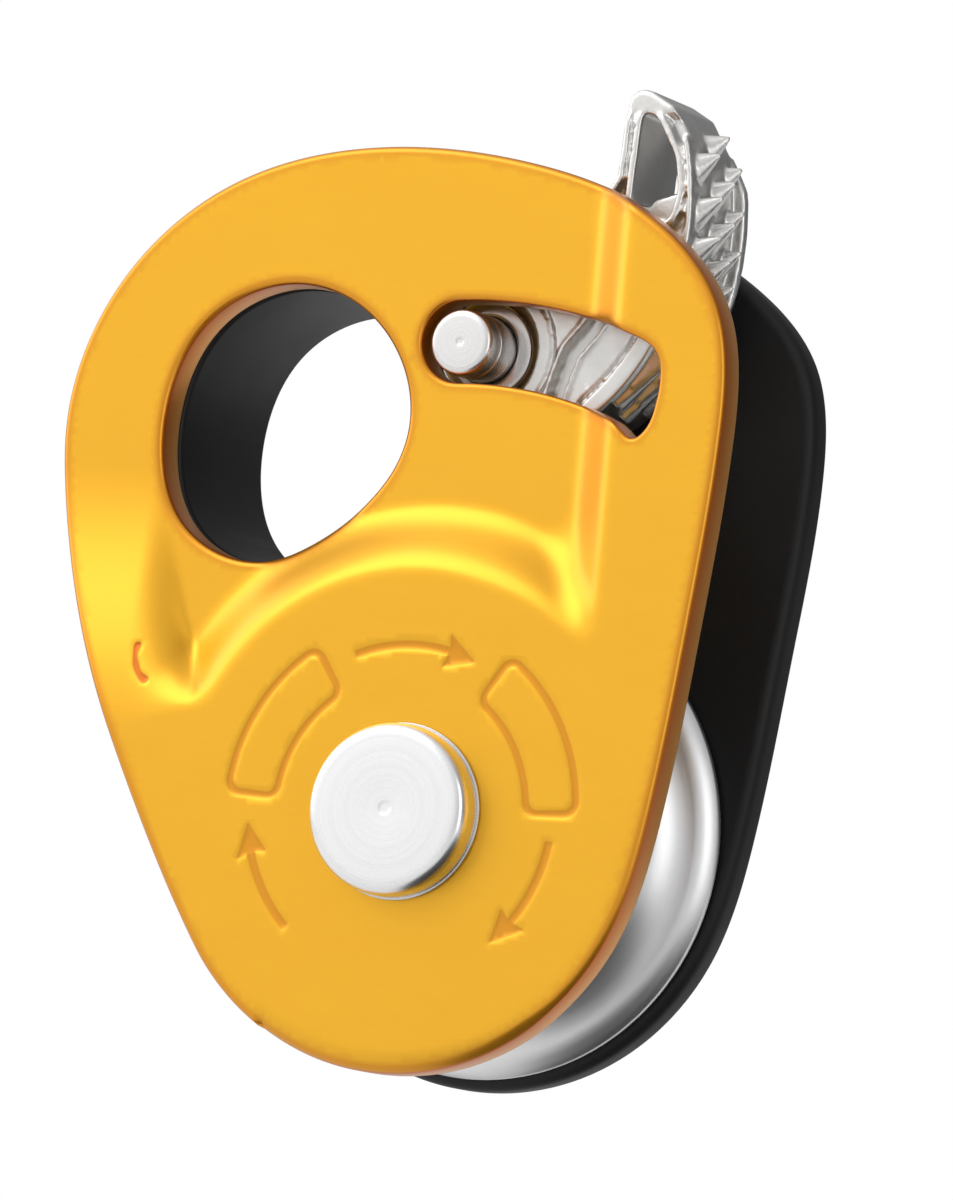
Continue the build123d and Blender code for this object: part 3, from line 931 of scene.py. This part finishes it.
def makeThornTree():
    c = camShape
    tree, enter, leave = shapeTree(
        "thornRow", ("Count", "Int", 8), ("First angle", "Float", -16.0), ("Pitch", "Float", c["thornPitch"]),
        ("Depth", "Float", 0.0), ("Root", "Float", c["thornRoot"]), ("Height", "Float", 3.2),
        ("Taper", "Float", c["thornTaper"]), ("Base", "Float", 1.05), ("Aim", "Float", c["thornAim"]))

    def node(operation, a, b=None):
        return mathNode(tree, operation, a, b)

    index = tree.nodes.new("GeometryNodeInputIndex").outputs[0]
    angle = node("ADD", node("MULTIPLY", index, enter["Pitch"]), enter["First angle"])
    bend = node("MULTIPLY", node("MULTIPLY", angle, angle), c["edgeCurve"])
    line = node("ADD", node("MULTIPLY", angle, c["edgeSlope"]), c["edgeStart"])
    radius = node("SUBTRACT", node("ADD", bend, line), enter["Root"])
    turn, aimTurn = node("RADIANS", angle), node("RADIANS", enter["Aim"])
    x = node("MULTIPLY", radius, node("COSINE", turn))
    z = node("ADD", node("MULTIPLY", radius, node("SINE", turn)), pivotZ)
    at = addNode(tree, "ShaderNodeCombineXYZ", X=node("MULTIPLY", x, mm),
                 Y=node("MULTIPLY", enter["Depth"], mm), Z=node("MULTIPLY", z, mm))
    points = addNode(tree, "GeometryNodePoints", Count=enter["Count"], Position=at.outputs[0])
    cone = addNode(tree, "GeometryNodeMeshCone", Vertices=c["thornSides"], Radius_Top=c["thornTip"] * mm,
                   Radius_Bottom=node("MULTIPLY", enter["Base"], mm),
                   Depth=node("MULTIPLY", enter["Height"], mm))
    aim = addNode(tree, "ShaderNodeCombineXYZ", X=node("COSINE", aimTurn), Z=node("SINE", aimTurn))
    align = addNode(tree, "FunctionNodeAlignRotationToVector", Vector=aim.outputs[0])
    align.axis = "Z"
    shorter = node("SUBTRACT", 1.0, node("MULTIPLY", index, enter["Taper"]))  # towards the tip
    size = addNode(tree, "ShaderNodeCombineXYZ", X=c["thornLong"], Y=1.0, Z=shorter)
    copies = addNode(tree, "GeometryNodeInstanceOnPoints", Points=points.outputs[0],
                     Instance=cone.outputs["Mesh"], Rotation=align.outputs[0], Scale=size.outputs[0])
    return leaveAs(tree, copies.outputs[0], enter, leave)


def makeBallTree():
    tree, enter, leave = shapeTree("ballRing", ("Count", "Int", 10), ("Circle", "Float", 6.75 * mm),
                                   ("Ball", "Float", 1.5 * mm))
    ring = addNode(tree, "GeometryNodeMeshCircle", Vertices=enter["Count"], Radius=enter["Circle"])
    upright = addNode(tree, "GeometryNodeTransform", Geometry=ring.outputs[0], Rotation=(pi / 2, 0, 0))
    ball = addNode(tree, "GeometryNodeMeshUVSphere", Segments=32, Rings=16, Radius=enter["Ball"])
    copies = addNode(tree, "GeometryNodeInstanceOnPoints", Points=upright.outputs[0],
                     Instance=ball.outputs["Mesh"])
    return leaveAs(tree, copies.outputs[0], enter, leave)


def makeWireTree():
    tree, enter, leave = shapeTree("roundWire", ("Wire radius", "Float", 0.4 * mm))
    line = addNode(tree, "GeometryNodeMeshToCurve", Mesh=enter["Geometry"])
    ring = addNode(tree, "GeometryNodeCurvePrimitiveCircle", Resolution=14, Radius=enter["Wire radius"])
    skin = addNode(tree, "GeometryNodeCurveToMesh", Curve=line.outputs[0], Profile_Curve=ring.outputs[0],
                   Fill_Caps=True)
    return leaveAs(tree, skin.outputs[0], enter, leave)


# Cam: hub and blade with cast relief, a window, a rear flange and rows of thorns

camShape = {
    "edgeStart": 13.7,
    "edgeSlope": 0.135,
    "edgeCurve": 0.00115,
    "front": -3.8,
    "rear": 4.2,
    "back": [(-2.5, 5.0), (3.0, 6.3), (7.6, 8.9), (10.0, 13.2), (10.3, 18.6)],
    "window": [(11.6, 18.1), (11.2, 10.2), (14.4, 9.9), (14.95, 12.2), (14.5, 14.8), (12.7, 17.8)],
    "hubRadius": 5.6,
    "hubFront": -3.0,
    "bore": 4.4,
    "flangeOut": 1.15,
    "flange": (3.9, 4.8),
    "valley": [(9.8, 3.2), (8.8, 1.7), (7.4, 0.0), (6.9, -1.4), (6.3, -3.5), (5.4, -5.6)],
    "edgeAngles": (-25, 46),
    "tip": [(14.0, 18.55), (12.2, 19.6), (11.5, 19.75), (10.9, 19.6), (10.45, 19.2)],
    "crossBar": [(11.0, 9.6), (14.9, 10.2), (14.9, 12.6), (12.2, 11.8), (11.9, 11.3), (11.0, 11.4)],
    "crossBarFront": -1.6,
    "voxel": 0.15,
    # each row: depth, first angle, thorns, height, base radius
    "rows": [(-2.3, -15.0, 8, 4.4, 1.25), (0.4, -19.0, 9, 4.4, 1.3), (3.0, -15.0, 8, 3.5, 1.1)],
    "thornPitch": 8.2,
    "thornRoot": 0.9,
    "thornTaper": 0.055,
    "thornAim": 28.0,
    "thornSides": 10,
    "thornTip": 0.10,
    "thornLong": 1.25,  # along the row, against its breadth
}

castRelief = {  # depths in Y, with the front towards minus
    "plateau": -3.30,
    "ground": -2.9,
    "trough": (7.0, 3.0, 0.45),  # height above the pivot where it starts, over how much, and how deep
    "rimWide": 1.45,  # the raised rim behind the thorns
    "rimThinner": 1.0,  # by this much beside the trough
    "rimOver": 0.15,
    "soft": 0.2,
    "rimLine": (0.28, 0.26, 0.18, 0.35),  # place beside the rim, half width, softness, depth
    "tipRim": (0.65, 0.9),  # width and height
    "frameRib": (0.74, 0.8),
    "top": (17.4, 0.8, 0.25),  # height above the pivot, over how much, set back by
    "ridge": (1.05, 0.2, 0.25),  # width, softness, height
    "ridgeOutside": 5.9,
    "dip": (0.72, 0.22, 1.25),
    "hubSoft": (0.1, 0.25),
    "hubRing": (0.15, 0.28, 0.2, 0.45),
    "deepest": 3.0,
}


def edgeAt(angle, grow=0.0):
    c = camShape
    r = c["edgeStart"] + c["edgeSlope"] * angle + c["edgeCurve"] * angle * angle + grow
    return (r * cos(radians(angle)), pivotZ + r * sin(radians(angle)))


def fromPivot(points):
    return [(x, pivotZ + z) for x, z in points]


def camLoop():
    edge = [edgeAt(a) for a in np.linspace(*camShape["edgeAngles"], 40)]
    tip, back = fromPivot(camShape["tip"]), fromPivot(camShape["back"])[::-1]
    hub = arcPoints(camShape["hubRadius"], 116, 297, 40, 0, pivotZ)
    return outlineOf(edge + tip + back[:-1] + hub + fromPivot([(6.5, -6.0)]), 0.22)


def toLine(points, x, z):  # distance to an open line of straight runs
    best = np.full(len(x), 1e9)
    for (ax, az), (bx, bz) in zip(points, points[1:]):
        dx, dz = bx - ax, bz - az
        t = np.clip(((x - ax) * dx + (z - az) * dz) / (dx * dx + dz * dz), 0, 1)
        best = np.minimum(best, np.hypot(x - ax - t * dx, z - az - t * dz))
    return best


def camRelief(window):
    c, r = camShape, castRelief
    edge = [edgeAt(a) for a in np.linspace(*c["edgeAngles"], 60)]
    back, valley = fromPivot(c["back"]), fromPivot(c["valley"])

    def front(x, z):
        high = z - pivotZ
        fromHub = np.hypot(x, high)
        fromEdge, fromValley = toLine(edge, x, z), toLine(valley, x, z)
        start, over, deep = r["trough"]
        trough = smoothStep((high - start) / over)
        rimWide = r["rimWide"] - r["rimThinner"] * trough
        rim = near(fromEdge, rimWide + r["rimOver"], r["soft"])
        beside, half, soft, lineDeep = r["rimLine"]
        line = near(np.abs(fromEdge - rimWide - beside), half, soft)
        y = r["plateau"] + deep * trough + lineDeep * line * (1 - trough)
        y = y * (1 - rim) + c["front"] * rim
        ribs = ((toLine(back, x, z), r["tipRim"]), (distanceTo(window, x, z), r["frameRib"]))
        for distance, (wide, tall) in ribs:
            y = np.minimum(y, r["ground"] - tall * near(distance, wide, r["soft"]))
        start, over, lower = r["top"]
        top = smoothStep((high - start) / over)
        y = y * (1 - top) + (c["front"] + lower) * top
        wide, soft, tall = r["ridge"]
        ridge = tall * near(fromValley, wide, soft) * (1 - rim)
        y = np.where(fromHub > r["ridgeOutside"], y - ridge, y)
        wide, soft, deep = r["dip"]
        y = y + deep * near(fromValley, wide, soft) * (1 - rim)
        over, soft = r["hubSoft"]
        hub = near(fromHub, c["hubRadius"] + over, soft)
        y = y * (1 - hub) + c["hubFront"] * hub
        beside, half, soft, deep = r["hubRing"]
        ring = deep * near(np.abs(fromHub - c["hubRadius"] - beside), half, soft)
        return np.clip(y + ring, c["front"], r["deepest"])

    return front


def camFlange():  # outline of the thin rim behind the thorns
    c = camShape
    first, last = -14, c["edgeAngles"][1]
    outer = [edgeAt(a, c["flangeOut"] * min(1, (last - a) / 8)) for a in np.linspace(first, last, 40)]
    inner = [edgeAt(a, -1.2) for a in np.linspace(last, first, 30)]
    return outlineOf(outer + inner, 0.25)


def makeCam():
    c = camShape
    window = turnedWay(evenLoop(smoothWindow(fromPivot(c["window"])), 0.2), False)
    bore = turnedWay(circle(c["bore"], 0, pivotZ), False)
    boreRim = [(0.15, 0), (0, 0.15), (0, 1.5), (-0.3, 1.5)]
    rims = [(camLoop(), roundRim(0.30, 3), roundRim(0.2, 2)), (window, roundRim(0.22, 3), roundRim(0.2, 2)),
            (bore, boreRim, [(-0.3, 0)])]
    cam = sheetPiece("toothedCam", rims, camRelief(window), level(c["rear"]), castSteel, 0.2, 0.12)
    low, high = c["flange"]
    flangeRim, barRim = roundRim(0.25, 3), roundRim(0.2, 2)
    flange = [(camFlange(), flangeRim, flangeRim)]
    bar = [(outlineOf(fromPivot(c["crossBar"]), 0.2), barRim, barRim)]
    bits = [sheetPiece("flange", flange, level(low), level(high), castSteel, 0.4, 0.1),
            sheetPiece("bar", bar, level(c["crossBarFront"]), level(c["rear"]), castSteel, 0.3, 0.1)]
    for depth, first, count, height, base in c["rows"]:
        row = {"Count": count, "First angle": first, "Depth": depth, "Height": height, "Base": base}
        row.update({"Pitch": c["thornPitch"], "Root": c["thornRoot"], "Taper": c["thornTaper"],
                    "Aim": c["thornAim"], "Material": castSteel})
        bits.append(grown("thorns", makeThornTree(), row))
    joinedTo(cam, bits)
    skin = cam.modifiers.new("skin", "REMESH")
    skin.mode, skin.voxel_size, skin.use_smooth_shade = "VOXEL", c["voxel"] * mm, True
    ease = cam.modifiers.new("ease", "SMOOTH")
    ease.factor, ease.iterations = 0.35, 1
    applied(cam)
    cam.data.materials.clear()
    cam.data.materials.append(castSteel)
    print("cam triangles", sum(len(p.vertices) - 2 for p in cam.data.polygons))
    return cam


def smoothWindow(corners, reach=0.7):  # corners rounded by cutting them in short steps
    out = []
    for before, here, after in zip(np.roll(corners, 1, 0), np.array(corners), np.roll(corners, -1, 0)):
        start = here + (before - here) / hypot(*(before - here)) * reach
        end = here + (after - here) / hypot(*(after - here)) * reach
        for t in np.linspace(0, 1, 6):
            out.append(start * (1 - t) ** 2 + here * 2 * t * (1 - t) + end * t ** 2)
    return out


def joinedTo(piece, others):
    bm = bmesh.new()
    for o in [piece] + others:
        bm.from_mesh(o.data)
    bm.to_mesh(piece.data)
    bm.free()
    for o in others:
        bpy.data.objects.remove(o)


place(makeCam(), "cam", "cast_steel", "cam")
print("cam made")


# Bearing balls and springs

def helix(radius, low, high, turns, steps=40, start=0.0):
    count = int(turns * steps)
    points = []
    for k in range(count + 1):
        a = start + tau * turns * k / count
        points.append((radius * cos(a), low + (high - low) * k / count, pivotZ + radius * sin(a)))
    return points


def makeWire(name, points, radius):
    mesh = bpy.data.meshes.new(name)
    edges = [(k, k + 1) for k in range(len(points) - 1)]
    mesh.from_pydata([tuple(c * mm for c in p) for p in points], edges, [])
    values = {"Wire radius": radius * mm, "Material": springWire}
    return facesOut(grown(name, makeWireTree(), values, linked(name, mesh)), 1e-8)


springs = {
    "camRadius": 4.95,
    "camWire": 0.4,
    "camEnds": (5.3, 6.8),
    "camTurns": 1.75,
    "buttonRadius": 1.95,
    "buttonWire": 0.22,
    "buttonEnds": (-0.1, 3.3),
    "buttonTurns": 4.0,
    "pressedLength": 0.58,  # share of the free length
}


def makeSprings():
    s = springs
    coil = helix(s["camRadius"], *s["camEnds"], s["camTurns"])
    place(makeWire("torsionSpring", coil, s["camWire"]), "frame", "spring_steel", "cam_spring")
    coil = helix(s["buttonRadius"], *s["buttonEnds"], s["buttonTurns"])
    spring = makeWire("returnSpring", coil, s["buttonWire"])
    place(spring, "frame", "spring_steel", "button_spring")
    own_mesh(spring)


makeSprings()
ballSizes = {"Count": 10, "Circle": 6.75 * mm, "Ball": 1.5 * mm, "Material": groundSteel}
balls = grown("bearingBallSet", makeBallTree(), ballSizes)
place(balls, "ball_set", "bearing_steel", "bearing_balls")
print("bearing balls and springs made")


# CAD pieces that keep their shape take a finish

keptNodes = {
    "plate_bush": bronze,
    "cam_bush": bronze,
    "cam_washer": nylon,
    "bearing_cage": nylon,
    "bearing_inner_ring": groundSteel,
    "bearing_outer_ring": groundSteel,
    "bearing_front_shield": groundSteel,
    "bearing_rear_shield": groundSteel,
    "front_spacer": turnedAxle,
    "rear_spacer": turnedAxle,
    "cam_stop_pin": turnedAxle,
    "button_clip": springWire,
}
for node, finish in keptNodes.items():
    for spot in nodes[node].material_slots:
        spot.material = finish
print("finishes on", len(keptNodes), "CAD pieces")


# Floor, lights, surroundings and camera

studio = {
    "floorHalf": (1.6, 1.6),
    "floorAt": (0.0, 0.0, -0.14),
    "flagHalf": (0.16, 0.14),
    "flagAt": (0.15, -0.08, -0.12),
    # each light: name, place, width, height, power
    "lights": [("keyLight", (-0.50, -0.70, 0.85), 0.80, 0.80, 3.6),
               ("leftCard", (-0.95, -0.20, 0.38), 0.75, 0.60, 1.7),
               ("fillLight", (0.75, -0.55, 0.10), 0.35, 0.8, 1.5)],
    "lightAim": (0.0, 0.0, 0.015),
    "surround": 1.12,
    "brightWay": (-0.62, -0.58, 0.53),
    "gradient": [(0.06, 0.06, 0.062, 1), (0.30, 0.30, 0.305, 1), (1.0, 1.0, 1.0, 1)],
}


def flatBoard(name, half, at, finish):
    (h, d), (x, y, z) = half, at
    corners = [(x - h, y - d, z), (x + h, y - d, z), (x + h, y + d, z), (x - h, y + d, z)]
    mesh = bpy.data.meshes.new(name)
    mesh.from_pydata(corners, [], [(0, 1, 2, 3)])
    mesh.materials.append(finish)
    return linked(name, mesh)


def makeFloor():
    m, tree, shader, coords = newFinish("paleFloor")
    patch = noiseNode(tree, coords, 4.0, 2.0)
    colour = mixColour(tree, patch, (0.86, 0.86, 0.86), (0.90, 0.90, 0.90))
    fed(tree, shader, {"Base Color": colour, "Roughness": 0.75})
    flatBoard("floor", studio["floorHalf"], studio["floorAt"], m)


def makeFlag():  # a dark board that only reflections see, below right
    m, tree, shader, _ = newFinish("darkBoard")
    fed(tree, shader, {"Base Color": (0.02, 0.02, 0.02, 1), "Roughness": 0.9})
    flag = flatBoard("flag", studio["flagHalf"], studio["flagAt"], m)
    flag.visible_camera = flag.visible_diffuse = flag.visible_shadow = False


def softLight(name, at, width, height, power):
    light = bpy.data.lights.new(name, "AREA")
    light.shape = "RECTANGLE"
    light.size, light.size_y, light.energy = width, height, power
    lamp = linked(name, light)
    lamp.location = at
    lamp.rotation_euler = (Vector(studio["lightAim"]) - Vector(at)).to_track_quat("-Z", "Y").to_euler()


def makeSurround():  # white to the camera, and a soft gradient to everything that is lit or reflects
    world = bpy.data.worlds.new("studio")
    bpy.context.scene.world = world
    world.use_nodes = True
    tree = world.node_tree
    shade = tree.nodes["Background"]
    coords = tree.nodes.new("ShaderNodeTexCoord").outputs["Generated"]
    facing = tree.nodes.new("ShaderNodeVectorMath")
    facing.operation = "DOT_PRODUCT"
    facing.inputs[1].default_value = Vector(studio["brightWay"]).normalized()
    tree.links.new(coords, facing.inputs[0])
    share = mathNode(tree, "MULTIPLY_ADD", facing.outputs["Value"], 0.5)  # the addend is 0.5 as it comes
    ramp = addNode(tree, "ShaderNodeValToRGB", Fac=share)
    ramp.color_ramp.elements.new(0.5)
    for stop, colour in zip(ramp.color_ramp.elements, studio["gradient"]):
        stop.color = colour
    tree.links.new(ramp.outputs["Color"], shade.inputs["Color"])
    shade.inputs["Strength"].default_value = studio["surround"]
    white = addNode(tree, "ShaderNodeBackground", Color=(1, 1, 1, 1), Strength=1.0)
    path = tree.nodes.new("ShaderNodeLightPath")
    either = tree.nodes.new("ShaderNodeMixShader")
    tree.links.new(path.outputs["Is Camera Ray"], either.inputs["Fac"])
    tree.links.new(shade.outputs[0], either.inputs[1])
    tree.links.new(white.outputs[0], either.inputs[2])
    tree.links.new(either.outputs[0], tree.nodes["World Output"].inputs["Surface"])


shot = {
    "azimuth": 24.96,
    "elevation": -5.39,
    "roll": 5.09,
    "aim": (0.004511, -0.009851, 0.015867),
    "distance": 0.700,
    "lens": 286.65,
}


def makeCamera():
    az, el, roll = (radians(shot[k]) for k in ("azimuth", "elevation", "roll"))
    back = Vector((sin(az) * cos(el), -cos(az) * cos(el), sin(el)))
    flatRight = Vector((0, 0, 1)).cross(back).normalized()
    right = flatRight * cos(roll) + back.cross(flatRight) * sin(roll)
    up = back.cross(right)
    data = bpy.data.cameras.new("camera")
    data.lens, data.sensor_width = shot["lens"], 36.0
    camera = linked("camera", data)
    turn = Matrix((right, up, back)).transposed().to_4x4()
    camera.matrix_world = Matrix.Translation(Vector(shot["aim"]) + back * shot["distance"]) @ turn
    bpy.context.scene.camera = camera


makeFloor()
makeFlag()
makeSurround()
for lightSizes in studio["lights"]:
    softLight(*lightSizes)
makeCamera()
bpy.context.scene.view_settings.view_transform = "Standard"
print("stage, lights and camera made")
